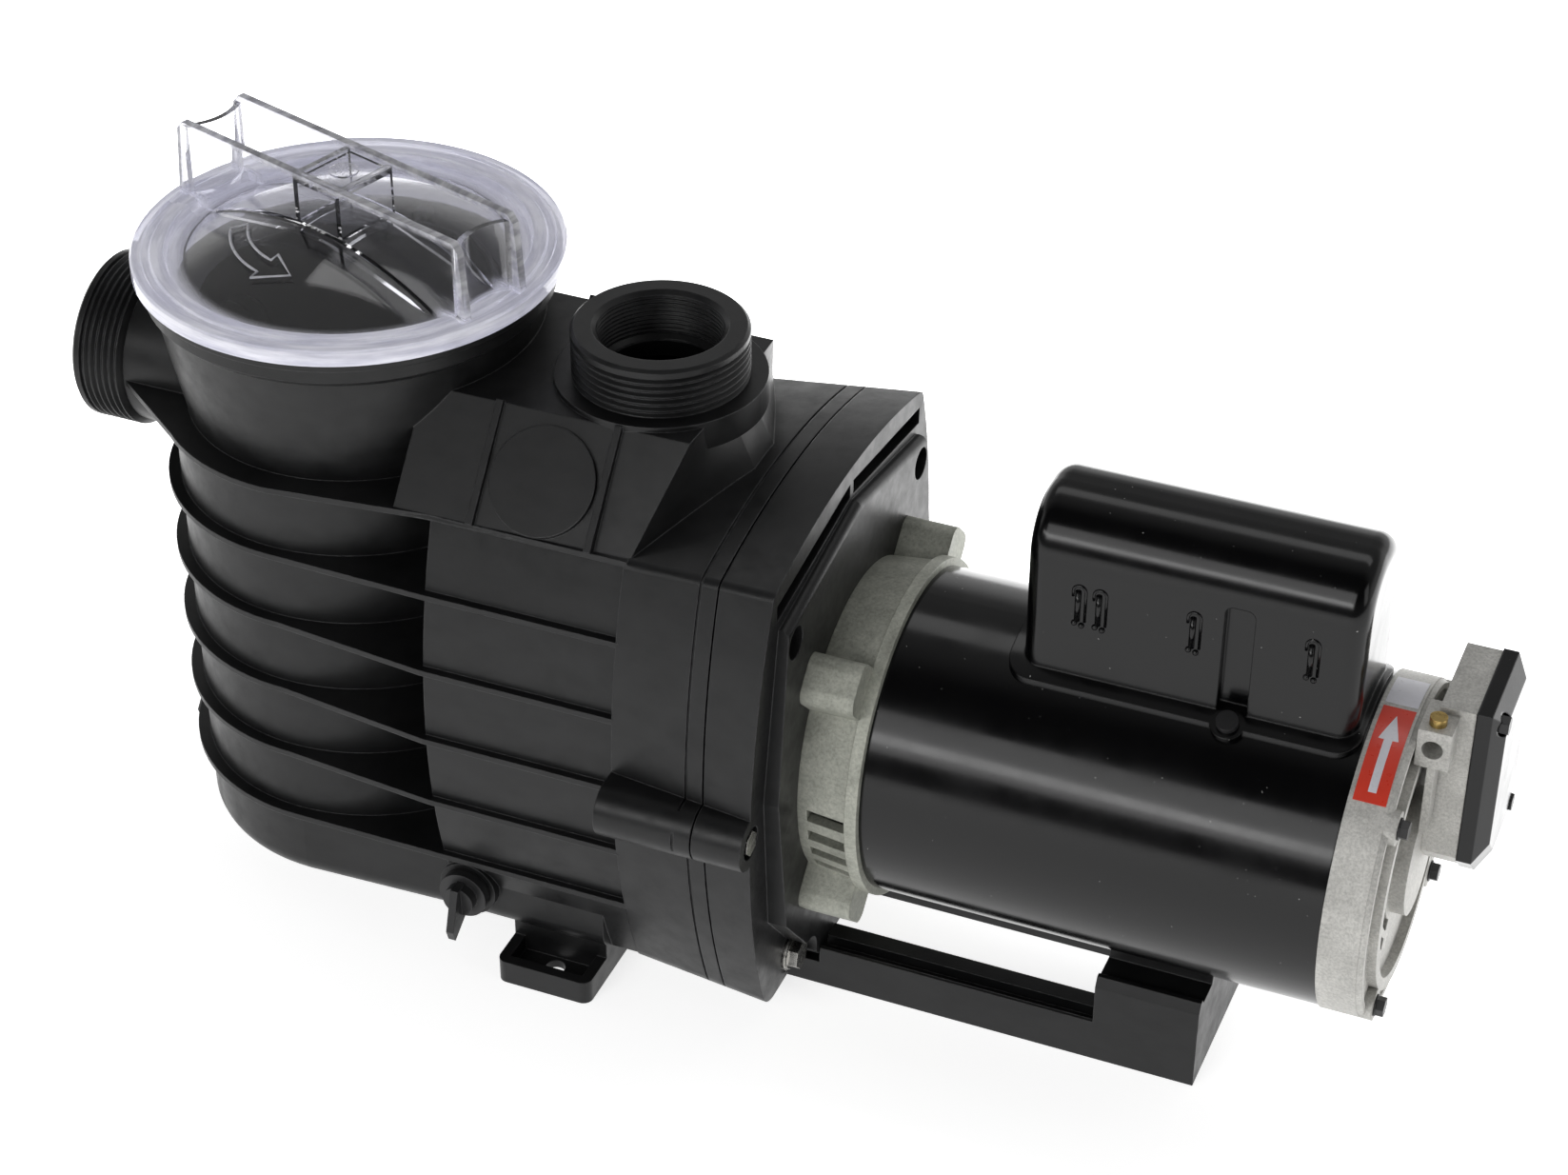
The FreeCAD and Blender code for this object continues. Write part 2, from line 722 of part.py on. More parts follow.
def impeller():
    """Closed impeller: two shrouds, six swept vanes and a hub."""
    front = lathe_x([(21, 14), (23.4, 14), (23.4, 47.4), (66, 58), (66, 60.4),
                     (21, 49.2)])
    back = lathe_x([(SHAFT_R, 72), (66, 72), (66, 74.4), (16, 75), (14, 79.6),
                    (SHAFT_R, 79.6)])
    hub = lathe_x([(SHAFT_R, 54), (10, 54), (15, 66), (18, 72.5), (SHAFT_R, 72.5)])
    room = lathe_x([(12, 52), (21, 51), (21, 48.6), (66, 59.6), (66, 73), (12, 73)])
    vanes = []
    for i in range(6):
        outer = tube_x(46, 74, 42.4, 40.0, 24, SHAFT_Z + 34)
        quarter = box(46, 74, 0, 90, SHAFT_Z - 30, SHAFT_Z + 34)
        vane = outer.common(quarter).common(room)
        vanes.append(spin_x(vane, 60 * i))
    return fuse([front, back, hub] + vanes)


def impeller_screw():
    head = lathe_x([(0, 44), (6, 44), (8, 48), (8, 52), (0, 52)])
    shank = rod_x(52, 66, 3.0)
    return head.fuse(shank)


def seal_rotor():
    """Spring-loaded half of the shaft seal, on the impeller hub side."""
    return lathe_x([(SHAFT_R, 80), (15.4, 80), (15.4, 84), (13.2, 84.6),
                    (13.2, 88), (15, 88.6), (15, 92), (SHAFT_R, 92)])


def seal_seat():
    return tube_x(92.2, 103.8, 16.1, SHAFT_R + 0.6)


# ---- motor ----
def lug_centre(angle):
    a = math.radians(angle)
    return 88 * math.cos(a), SHAFT_Z + 88 * math.sin(a)


def adapter_lug(angle):
    """Square-shouldered mounting lug with a rounded outer end."""
    radial = box(PAD_X1, 149, 60, 98, SHAFT_Z - 12.5, SHAFT_Z + 12.5)
    radial = soften(radial, 7, lambda e: along(e, X_DIR) and e.CenterOfMass.y > 90)
    return spin_x(radial, angle)


def motor_adapter():
    ring = tube_x(RING_X0, SHELL_X0, 83.2, 74)
    spigot = tube_x(SHELL_X0, SHELL_X0 + 6, 77.2, 72)
    wall = lathe_x([(72, PAD_X1), (77.5, PAD_X1), (80.5, RING_X0), (75, RING_X0)])
    front = tube_x(PAD_X1, PAD_X1 + 5, 77.5, 28)
    web = tube_x(RING_X0 - 4, SHELL_X0, 75, 24)
    hub = tube_x(136, SHELL_X0 + 2, 26, 20.0)
    lip = tube_x(133, 137, 26, 11)
    lugs = [adapter_lug(a) for a in BOLT_ANGLES]
    body = fuse([ring, spigot, wall, front, web, hub, lip] + lugs)
    cutters = []
    for side in (1, -1):
        for i in range(4):
            slot = box(PAD_X1 + 5, RING_X0, 60, 86, SHAFT_Z - 3.4, SHAFT_Z + 3.4)
            middle = 270 - side * (58 + 9.5 * i)
            cutters.append(spin_x(slot, middle))
    for i in range(6):
        window = box(140, 160, 34, 62, SHAFT_Z - 9, SHAFT_Z + 9)
        cutters.append(spin_x(window, 60 * i))
    for angle in BOLT_ANGLES:
        y, z = lug_centre(angle)
        cutters.append(rod_x(PAD_X1 - 1, 140, 4.2, y, z))
        a = math.radians(angle)
        by = MOTOR_BOLT_R * math.cos(a)
        bz = SHAFT_Z + MOTOR_BOLT_R * math.sin(a)
        cutters.append(rod_x(139, 170, 2.7, by, bz))
    return body.cut(Part.makeCompound(cutters))


def adapter_bolts():
    bolts = []
    for angle in BOLT_ANGLES:
        y, z = lug_centre(angle)
        bolts.append(rod_x(106.5, 139.5, 4.0, y, z))
    return Part.makeCompound(bolts)


def motor_shell():
    shell = tube_x(SHELL_X0, SHELL_X1, SHELL_R, SHELL_R - SHELL_T)
    return carve(shell, [cover_screw_rod(s, 2.15, SHELL_R - 8, SHELL_R + 8)
                         for s in (-1, 1)])


def stator_core():
    core = tube_x(205, 305, 77.2, 45.5)
    grooves = []
    for angle in BOLT_ANGLES:
        a = math.radians(angle)
        grooves.append(rod_x(200, 310, 3.6, MOTOR_BOLT_R * math.cos(a),
                             SHAFT_Z + MOTOR_BOLT_R * math.sin(a)))
    for i in range(24):
        a = math.radians(15 * i)
        grooves.append(rod_x(200, 310, 3.2, 50.0 * math.cos(a),
                             SHAFT_Z + 50.0 * math.sin(a)))
    return core.cut(Part.makeCompound(grooves))


def stator_windings():
    """End turns at each end of the core, tied round."""
    front = lathe_x([(48, 205), (48, 186), (53, 180), (62, 180), (67, 186), (67, 205)])
    rear = lathe_x([(48, 305), (48, 324), (53, 330), (62, 330), (67, 324), (67, 305)])
    coils = []
    for i in range(24):
        a = math.radians(15 * i)
        coils.append(rod_x(204, 306, 3.0, 50.0 * math.cos(a),
                           SHAFT_Z + 50.0 * math.sin(a)))
    return fuse([front, rear] + coils)


def rotor():
    core = lathe_x([(10.0, 203), (44.9, 203), (44.9, 307), (10.0, 307)])
    rings = [tube_x(195, 203, 43, 26), tube_x(307, 315, 43, 26)]
    return fuse([core] + rings)


def motor_shaft():
    return lathe_x([(0, 66.5), (SHAFT_R, 66.5), (SHAFT_R, 137), (8.5, 137.4),
                    (8.5, 152), (10, 152.4), (10, 366), (8.5, 366.4),
                    (8.5, 384), (0, 384)]).cut(rod_x(60, 66.5, 3.0))


def bearing(x0, x1, inner_r, outer_r):
    """Ball bearing drawn as one shielded ring."""
    step = 0.4
    third = (outer_r - inner_r) / 4
    return lathe_x([
        (inner_r, x0), (inner_r + third, x0), (inner_r + third, x0 + step),
        (outer_r - third, x0 + step), (outer_r - third, x0), (outer_r, x0),
        (outer_r, x1), (outer_r - third, x1), (outer_r - third, x1 - step),
        (inner_r + third, x1 - step), (inner_r + third, x1), (inner_r, x1),
    ])


def slinger():
    """Rubber flinger that keeps drips off the front bearing."""
    return lathe_x([(SHAFT_R, 125), (14, 125), (20, 127), (20, 129), (13, 128),
                    (SHAFT_R, 131)])


def motor_fan():
    hub = tube_x(336, 352, 18, 10)
    disc = tube_x(336, 338.5, 58, 12)
    blades = []
    for i in range(9):
        blade = box(338, 352, 16, 56, SHAFT_Z - 1.2, SHAFT_Z + 1.2)
        blades.append(spin_x(blade, 40 * i))
    return fuse([hub, disc] + blades)


def end_shield():
    """Cast rear cover: ring, spoked face with vents, hub and bolt bosses."""
    wall = tube_x(SHELL_X1, 392, 80.3, 75.5)
    edge = lathe_x([(75.5, 391), (80.3, 391), (78.6, 394.5), (75.5, 394.5)])
    spigot = tube_x(SHELL_X1 - 6, SHELL_X1, 77.2, 74)
    plate = rod_x(388, 393, 78)
    hub = rod_x(384, SHIELD_X1 + 3, 30)
    raised = tube_x(391, SHIELD_X1, 66, 60)
    seat = tube_x(372, 390, 26, 20.0)
    bosses = []
    for angle in BOLT_ANGLES:
        a = math.radians(angle)
        y = MOTOR_BOLT_R * math.cos(a)
        z = SHAFT_Z + MOTOR_BOLT_R * math.sin(a)
        block = rod_x(SHELL_X1, SHIELD_X1, 8.0, y, z)
        outer = tube_x(SHELL_X1 - 1, SHIELD_X1 + 1, 120, 80.3)
        bosses.append(block.cut(outer))
    body = fuse([wall, edge, spigot, plate, hub, raised, seat] + bosses)
    cutters = [rod_x(371, 386, 20.0)]
    for side_angle in (200, 340):
        for i in range(3):
            rib = 33.5 + 9.0 * i
            slot = tube_x(386, 410, rib + 5.4, rib)
            wedge = sector(side_angle - 32, side_angle + 32)
            cutters.append(slot.common(wedge))
    for angle in BOLT_ANGLES:
        a = math.radians(angle)
        cutters.append(rod_x(360, 410, 2.7, MOTOR_BOLT_R * math.cos(a),
                             SHAFT_Z + MOTOR_BOLT_R * math.sin(a)))
    cutters.append(rod_x(386, 389, 18))
    return body.cut(Part.makeCompound(cutters))


def sector(a0, a1):
    """Wedge about the shaft, between two angles."""
    reach = 150.0
    points = [V(380, 0, SHAFT_Z)]
    for a in (a0, (a0 + a1) / 2, a1):
        r = math.radians(a)
        points.append(V(380, reach * math.cos(r), SHAFT_Z + reach * math.sin(r)))
    return prism(points, V(40, 0, 0))


def through_bolts():
    bolts = []
    for angle in BOLT_ANGLES:
        a = math.radians(angle)
        y = MOTOR_BOLT_R * math.cos(a)
        z = SHAFT_Z + MOTOR_BOLT_R * math.sin(a)
        shank = rod_x(141, SHIELD_X1 + 1, 2.4, y, z)
        head = hex_rod_x(SHIELD_X1, SHIELD_X1 + 4.6, 8.0, y, z, angle)
        washer = rod_x(SHIELD_X1, SHIELD_X1 + 0.9, 5.2, y, z)
        bolts.append(fuse([shank, washer, head]))
    return Part.makeCompound(bolts)


# ---- capacitor and its cover ----
def cover_outline(x, half, top, corner, bottom):
    """Upright section with a rounded top."""
    a = V(x, -half, bottom)
    b = V(x, -half, top - corner)
    c = V(x, -half + corner, top)
    d = V(x, half - corner, top)
    e = V(x, half, top - corner)
    f = V(x, half, bottom)
    bend = corner * (1 - math.sqrt(0.5))
    left = Part.Arc(b, V(x, -half + bend, top - bend), c).toShape()
    right = Part.Arc(d, V(x, half - bend, top - bend), e).toShape()
    edges = [Part.makeLine(a, b), left, Part.makeLine(c, d), right,
             Part.makeLine(e, f), Part.makeLine(f, a)]
    return Part.Face(Part.Wire(edges))


def cover_solid(inset, bottom):
    solid = cover_outline(COVER_X0 + inset, COVER_HALF - inset, COVER_TOP - inset,
                          28 - inset, bottom)
    solid = solid.extrude(V(COVER_X1 - COVER_X0 - 2 * inset, 0, 0))
    on_end = lambda e: e.BoundBox.XLength < 0.1 and e.CenterOfMass.z > bottom + 1
    corner = lambda e: along(e, Z_DIR) or e.CenterOfMass.z > COVER_TOP - 40
    solid = soften(solid, 9 - inset, lambda e: on_end(e) and corner(e))
    return solid


def cover_flute(spread):
    """Upright groove over each screw, or that groove grown by a wall."""
    flute = box(306 - spread, 320 + spread, -COVER_HALF - 1,
                -COVER_HALF + FLUTE_DEPTH + spread, 180, 268 + spread)
    flute = soften(flute, 4, lambda e: along(e, Y_DIR) and e.CenterOfMass.z > 260)
    return both_sides(flute)


def capacitor_cover():
    skin = 1.6
    lip = box(COVER_X0 - 6, COVER_X1 + 3, -COVER_HALF - 7, COVER_HALF + 7, 180, 230)
    lip = soften(lip, 12, lambda e: along(e, Z_DIR))
    lip = lip.common(tube_x(COVER_X0 - 10, COVER_X1 + 10, SHELL_R + LIP_T, SHELL_R))
    ears = [cover_screw_rod(s, 8.0, SHELL_R - 1, SHELL_R + LIP_T) for s in (-1, 1)]
    shell_solid = rod_x(COVER_X0 - 20, COVER_X1 + 20, SHELL_R)
    body = carve(cover_solid(0, 190), cover_flute(0))
    body = fuse([body, lip] + ears)
    body = body.cut(carve(cover_solid(skin, 150), cover_flute(skin)))
    body = body.cut(shell_solid)
    for side in (-1, 1):
        body = body.cut(cover_screw_rod(side, 2.3, SHELL_R - 8, SHELL_R + 8))
        body = body.cut(cover_screw_rod(side, 5.8, SHELL_R + LIP_T, SHELL_R + 16))
    return body


def cover_screw_rod(side, radius, r0, r1):
    """Cylinder along a cover screw, between two distances from the shaft."""
    a = math.radians(64)
    out = V(0, side * math.cos(a), math.sin(a))
    return Part.makeCylinder(radius, r1 - r0, V(313, 0, SHAFT_Z) + out * r0, out)


def cover_screws():
    screws = []
    for side in (-1, 1):
        shank = cover_screw_rod(side, 2.1, SHELL_R - 6, SHELL_R + LIP_T + 1)
        head = cover_screw_rod(side, 5.2, SHELL_R + LIP_T, SHELL_R + LIP_T + 3)
        screws.append(shank.fuse(head))
    return Part.makeCompound(screws)


def capacitor():
    can = rod_x(232, 345, 24, 0, 252)
    end = rod_x(345, 350, 20, 0, 252)
    tabs = [box(350, 358, y - 3, y + 3, 251.5, 252.5) for y in (-8, 8)]
    return fuse([can, end] + tabs)


def capacitor_clip():
    """Saddle strap that holds the capacitor to the shell."""
    ring = tube_x(270, 290, 25.4, 24.3, 0, 252)
    post = box(270, 290, -8, 8, SHAFT_Z + SHELL_R - 1, 227.6)
    post = post.cut(rod_x(260, 300, SHELL_R))
    return ring.fuse(post)


# ---- wiring end ----
BOX_X0 = 400.5
BOX_X1 = 417.0
BOX_Y = (-4.0, 62.0)
BOX_Z = (126.0, 222.0)
CONDUIT_X = 402.0
CONDUIT_Z = 209.0
CONDUIT_R = 4.8
GROUND_Y = -13.0


def box_outline(x, inset):
    y0 = BOX_Y[0] + inset
    y1 = BOX_Y[1] - inset
    z0 = BOX_Z[0] + inset
    z1 = BOX_Z[1] - inset
    cut = 14.0
    return [V(x, y0, z0 + cut), V(x, y0, z1), V(x, y1 - cut, z1), V(x, y1, z1 - cut),
            V(x, y1, z0), V(x, y0 + cut, z0)]


def wiring_box():
    """Cast box on the end shield, with a boss for the supply conduit."""
    outer = prism(box_outline(BOX_X0, 0), V(BOX_X1 - BOX_X0, 0, 0))
    inner = prism(box_outline(BOX_X0 + 4, 4), V(40, 0, 0))
    boss = box(394.7, 410, -20, 4, 199, 219)
    arm = box(394.7, 404, -18, -6, 160, 200)
    shell = fuse([outer, boss, arm]).cut(inner)
    posts = [rod_x(BOX_X0 + 3, BOX_X1, 5, y, z) for y, z in box_screw_places()]
    shell = fuse([shell] + posts)
    cutters = [rod_x(403, 420, 2.0, y, z) for y, z in box_screw_places()]
    cutters.append(rod_y(-30, 0, CONDUIT_R, CONDUIT_X, CONDUIT_Z))
    cutters.append(rod_z(214, 230, 2.1, CONDUIT_X, GROUND_Y))
    cutters.append(rod_x(390, 403.5, 7.5, MOTOR_BOLT_R * math.cos(math.pi / 4),
                         SHAFT_Z + MOTOR_BOLT_R * math.sin(math.pi / 4)))
    cutters.append(rod_x(390, BOX_X0, 66.1))
    return carve(shell, cutters)


def box_screw_places():
    return [(BOX_Y[0] + 8, BOX_Z[1] - 8), (BOX_Y[1] - 8, BOX_Z[0] + 8)]


def wiring_cover():
    rim = box_outline(BOX_X1, -0.8)
    face_points = box_outline(BOX_X1 + 13, 7)
    low = Part.makePolygon(rim + [rim[0]])
    mid_points = box_outline(BOX_X1 + 7, -0.8)
    mid = Part.makePolygon(mid_points + [mid_points[0]])
    top = Part.makePolygon(face_points + [face_points[0]])
    base = Part.makeLoft([low, mid], True, True)
    bevel = Part.makeLoft([mid, top], True, True)
    inner = prism(box_outline(BOX_X1 - 1, 5), V(9, 0, 0))
    body = base.fuse(bevel).cut(inner)
    for y, z in box_screw_places():
        body = body.fuse(rod_x(BOX_X1, BOX_X1 + 10, 4.5, y, z))
    for y, z in box_screw_places():
        body = body.cut(rod_x(BOX_X1 - 2, BOX_X1 + 20, 2.3, y, z))
        body = body.cut(rod_x(BOX_X1 + 9, BOX_X1 + 20, 5.4, y, z))
    return body.removeSplitter()


def wiring_cover_screws():
    screws = []
    for y, z in box_screw_places():
        shank = rod_x(403, BOX_X1 + 10, 1.9, y, z)
        head = hex_rod_x(BOX_X1 + 9, BOX_X1 + 14, 8, y, z, 20)
        screws.append(shank.fuse(head))
    return Part.makeCompound(screws)


def terminal_board():
    board = box(406, 409, 12, 54, 150, 205)
    studs = []
    for y, z in ((22, 190), (44, 190), (22, 165), (44, 165)):
        studs.append(rod_x(409, 414, 3, y, z))
    return fuse([board] + studs)


def ground_screw():
    head = rod_z(219, 223, 4, CONDUIT_X, GROUND_Y)
    return head.fuse(rod_z(215.2, 220, 2, CONDUIT_X, GROUND_Y))


# ---- support under the motor ----
def saddle_wall():
    """Block across the rails, with a cradle for the motor in its middle."""
    half = [(22, 60), (26, 47), (40, 47), (42, 50), (44.5, 50), (RAIL_Y, 45),
            (RAIL_Y, 0)]
    rise = [V(SADDLE_X0, y, z) for y, z in half]
    rise += [V(SADDLE_X0, -y, z) for y, z in reversed(half)]
    block = prism(rise, V(RAIL_X1 - SADDLE_X0, 0, 0))
    cradle = rod_x(200, 400, SHELL_R + PAD_T)
    hollow = box(SADDLE_X0 + 6, RAIL_X1 - 6, -RAIL_Y + 6, RAIL_Y - 6, -1, 40)
    return block.cut(cradle).cut(hollow)


def support_rail():
    """Grooved rail with a tongue that runs under the seal plate."""
    start = PAD_X1 + 0.2
    base = box(start, RAIL_X1, -RAIL_Y, -RAIL_IN, 0, 17)
    lip = box(start, RAIL_X1, -RAIL_Y, -RAIL_Y + 2, 0, RAIL_TOP)
    shelf = box(start, RAIL_X1, -36.5, -RAIL_IN, 0, RAIL_TOP)
    tongue = box(RAIL_X0, start, -RAIL_Y, -RAIL_IN, 0, BASE_Z - 0.2)
    hollow = box(start + 8, RAIL_X1 - 8, -RAIL_Y + 4, -RAIL_IN - 4, -1, 12)
    return fuse([base, lip, shelf, tongue]).cut(hollow)


def motor_support():
    body = fuse(both_sides(support_rail()) + [saddle_wall()])
    for y in (-RAIL_BOLT_Y, RAIL_BOLT_Y):
        body = body.cut(rod_z(-1, BASE_Z, 3.15, RAIL_BOLT_X, y))
        body = body.cut(rod_z(-1, 4.6, 6.0, RAIL_BOLT_X, y))
    return body


def support_screws():
    """Two screws up through the tongues into the seal plate."""
    screws = []
    for y in (-RAIL_BOLT_Y, RAIL_BOLT_Y):
        shank = rod_z(3, 30, 3.1, RAIL_BOLT_X, y)
        head = rod_z(0.6, 4.6, 5.5, RAIL_BOLT_X, y)
        socket = rod_z(0, 3, 2.4, RAIL_BOLT_X, y)
        screws.append(head.fuse(shank).cut(socket))
    return Part.makeCompound(screws)


def motor_pad():
    """Rubber strip between the saddle and the motor shell."""
    strip = tube_x(SADDLE_X0 + 2, RAIL_X1 - 2, SHELL_R + PAD_T, SHELL_R + 0.05)
    return strip.common(box(200, 400, -21.5, 21.5, 40, 80))


# ---- labels ----
def shield_label(a0, a1):
    """Thin curved sticker on the rim of the end shield."""
    band = tube_x(375.5, 390.5, 80.6, 80.3)
    wedge = sector(a0, a1)
    wedge.translate(V(-10, 0, 0))
    return band.common(wedge)


def save(name, shape):
    shape.exportStep("parts/" + name + ".step")


front_drain, side_drain = drain_places()
NODES = {
    "pump_housing": pump_housing,
    "discharge_port": discharge_port,
    "suction_port": suction_port,
    "front_drain_plug": lambda: drain_plug(front_drain),
    "front_drain_seal": lambda: drain_seal(front_drain),
    "side_drain_plug": lambda: drain_plug(side_drain),
    "side_drain_seal": lambda: drain_seal(side_drain),
    "lid": lid,
    "lid_ring": lid_ring,
    "strainer_basket": strainer_basket,
    "basket_bail": basket_bail,
    "seal_plate": seal_plate,
    "housing_gasket": housing_gasket,
    "seal_plate_bolts": seal_plate_bolts,
    "bolt_inserts": bolt_inserts,
    "diffuser": diffuser,
    "diffuser_ring": diffuser_ring,
    "impeller": impeller,
    "impeller_screw": impeller_screw,
    "seal_rotor": seal_rotor,
    "seal_seat": seal_seat,
    "motor_adapter": motor_adapter,
    "adapter_bolts": adapter_bolts,
    "motor_shell": motor_shell,
    "stator_core": stator_core,
    "stator_windings": stator_windings,
    "rotor": rotor,
    "motor_shaft": motor_shaft,
    "front_bearing": lambda: bearing(138, 150, 8.5, 20.0),
    "rear_bearing": lambda: bearing(372, 384, 8.5, 20.0),
    "slinger": slinger,
    "motor_fan": motor_fan,
    "end_shield": end_shield,
    "through_bolts": through_bolts,
    "capacitor_cover": capacitor_cover,
    "cover_screws": cover_screws,
    "capacitor": capacitor,
    "capacitor_clip": capacitor_clip,
    "wiring_box": wiring_box,
    "wiring_cover": wiring_cover,
    "wiring_cover_screws": wiring_cover_screws,
    "terminal_board": terminal_board,
    "ground_screw": ground_screw,
    "motor_support": motor_support,
    "support_screws": support_screws,
    "motor_pad": motor_pad,
    "arrow_label": lambda: shield_label(93, 130),
    "blank_label": lambda: shield_label(73, 91),
}

for node_name, build in NODES.items():
    save(node_name, build())
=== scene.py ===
import math

import bmesh
import bpy
from mathutils import Matrix, Vector


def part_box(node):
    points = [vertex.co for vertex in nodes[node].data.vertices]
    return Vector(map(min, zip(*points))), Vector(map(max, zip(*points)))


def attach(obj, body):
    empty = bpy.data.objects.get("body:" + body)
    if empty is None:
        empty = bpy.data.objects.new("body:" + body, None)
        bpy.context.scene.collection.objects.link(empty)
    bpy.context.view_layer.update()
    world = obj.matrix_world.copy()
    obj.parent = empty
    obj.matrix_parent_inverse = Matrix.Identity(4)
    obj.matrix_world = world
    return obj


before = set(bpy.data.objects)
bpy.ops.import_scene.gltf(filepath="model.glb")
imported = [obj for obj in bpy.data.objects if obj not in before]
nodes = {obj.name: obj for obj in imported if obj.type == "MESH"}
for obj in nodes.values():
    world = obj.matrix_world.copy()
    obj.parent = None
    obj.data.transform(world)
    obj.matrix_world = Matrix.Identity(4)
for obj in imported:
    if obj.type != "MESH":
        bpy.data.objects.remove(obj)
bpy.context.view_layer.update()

MM = 0.001


# ---- places taken from the CAD frame ----
def middle(node):
    low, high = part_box(node)
    return (low + high) / 2


SHAFT_Z = middle("motor_shell").z
POT_X = middle("strainer_basket").x
GRIP_TURN = -17.9
LABEL_LOW, LABEL_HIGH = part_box("arrow_label")


# ---- materials ----
class Finish:
    """A Principled material with small helpers for its procedural detail."""

    def __init__(self, name, color, roughness, **values):
        self.material = bpy.data.materials.new(name)
        self.material.use_nodes = True
        self.tree = self.material.node_tree
        self.shader = self.tree.nodes["Principled BSDF"]
        self.shader.inputs["Base Color"].default_value = (*color, 1.0)
        self.shader.inputs["Roughness"].default_value = roughness
        for key, value in values.items():
            socket = key.replace("_", " ").title()
            socket = socket.replace("Ior", "IOR")
            self.shader.inputs[socket].default_value = value
        self.normal = None
        self.place = self.add("ShaderNodeTexCoord").outputs["Object"]

    def add(self, kind, **values):
        node = self.tree.nodes.new(kind)
        for key, value in values.items():
            setattr(node, key, value)
        return node

    def link(self, output, target):
        self.tree.links.new(output, target)

    def noise(self, scale, detail=2.0, rough=0.5, stretch=None):
        """Noise in metres of the part's own frame."""
        node = self.add("ShaderNodeTexNoise")
        node.inputs["Scale"].default_value = scale
        node.inputs["Detail"].default_value = detail
        node.inputs["Roughness"].default_value = rough
        place = self.place
        if stretch:
            squeeze = self.add("ShaderNodeMapping")
            squeeze.inputs["Scale"].default_value = stretch
            self.link(place, squeeze.inputs["Vector"])
            place = squeeze.outputs["Vector"]
        self.link(place, node.inputs["Vector"])
        return node.outputs["Fac"]

    def ramp(self, source, stops):
        node = self.add("ShaderNodeValToRGB")
        elements = node.color_ramp.elements
        while len(elements) < len(stops):
            elements.new(0.5)
        for element, (place, color) in zip(elements, stops):
            element.position = place
            element.color = (*color, 1.0)
        self.link(source, node.inputs["Fac"])
        return node.outputs["Color"]

    def color_from(self, source, stops):
        self.link(self.ramp(source, stops), self.shader.inputs["Base Color"])
        return self

    def span(self, source, low, high, start=0.3, end=0.7):
        node = self.add("ShaderNodeMapRange")
        node.inputs["From Min"].default_value = start
        node.inputs["From Max"].default_value = end
        node.inputs["To Min"].default_value = low
        node.inputs["To Max"].default_value = high
        self.link(source, node.inputs["Value"])
        return node.outputs["Result"]

    def roughness_from(self, source, low, high, start=0.3, end=0.7):
        out = self.span(source, low, high, start, end)
        self.link(out, self.shader.inputs["Roughness"])
        return self

    def rounded(self, radius):
        """Softens sharp edges in the shading."""
        node = self.add("ShaderNodeBevel")
        node.samples = 6
        node.inputs["Radius"].default_value = radius
        self.normal = node.outputs["Normal"]
        self.link(self.normal, self.shader.inputs["Normal"])
        return self

    def bump(self, source, distance, strength=1.0):
        node = self.add("ShaderNodeBump")
        node.inputs["Distance"].default_value = distance
        node.inputs["Strength"].default_value = strength
        self.link(source, node.inputs["Height"])
        if self.normal:
            self.link(self.normal, node.inputs["Normal"])
        self.normal = node.outputs["Normal"]
        self.link(self.normal, self.shader.inputs["Normal"])
        return self

    def edges_from_bevel(self, radius, low, high):
        """0 on flat faces, 1 on sharp edges, from how far rounding turns the normal."""
        wide = self.add("ShaderNodeBevel")
        wide.samples = 6
        wide.inputs["Radius"].default_value = radius
        flat = self.add("ShaderNodeNewGeometry")
        dot = self.add("ShaderNodeVectorMath", operation="DOT_PRODUCT")
        self.link(wide.outputs["Normal"], dot.inputs[0])
        self.link(flat.outputs["Normal"], dot.inputs[1])
        return self.span(dot.outputs["Value"], 1.0, 0.0, low, high)

    def mix_color(self, factor, first, second):
        node = self.add("ShaderNodeMix", data_type="RGBA")
        self.link(factor, node.inputs["Factor"])
        for socket, value in ((node.inputs[6], first), (node.inputs[7], second)):
            if hasattr(value, "links"):
                self.link(value, socket)
            else:
                socket.default_value = (*value, 1.0)
        return node.outputs[2]


def grey(value):
    return (value, value, value)


def moulding():
    """Glass-filled black moulding: satin, faintly mottled, pale on its edges as a painted edge
    highlight and partly scuffing.
    """
    f = Finish("moulding", grey(0.009), 0.42, specular_ior_level=0.36)
    flow = f.noise(38, 4, 0.6, (1, 1, 2.2))
    base = f.ramp(flow, [(0.3, (0.0060, 0.0061, 0.0064)), (0.75, (0.0125, 0.0127, 0.0132))])
    # pale edge colour: painted highlight along sharp edges, broken up by noise, partly standing for
    # scuffs
    wear_and_highlight = f.edges_from_bevel(0.9 * MM, 0.80, 0.99)
    patchy = f.noise(220, 3, 0.6)
    both = f.add("ShaderNodeMath", operation="MULTIPLY")
    f.link(wear_and_highlight, both.inputs[0])
    f.link(f.span(patchy, 0.1, 1.0, 0.35, 0.65), both.inputs[1])
    color = f.mix_color(both.outputs[0], base, (0.070, 0.071, 0.074))
    f.link(color, f.shader.inputs["Base Color"])
    f.roughness_from(f.noise(90, 4, 0.65), 0.30, 0.46)
    f.rounded(0.8 * MM)
    f.bump(f.noise(900, 2, 0.6), 0.05 * MM, 0.35)
    f.bump(f.noise(60, 3, 0.5), 0.14 * MM, 0.3)
    return f.material


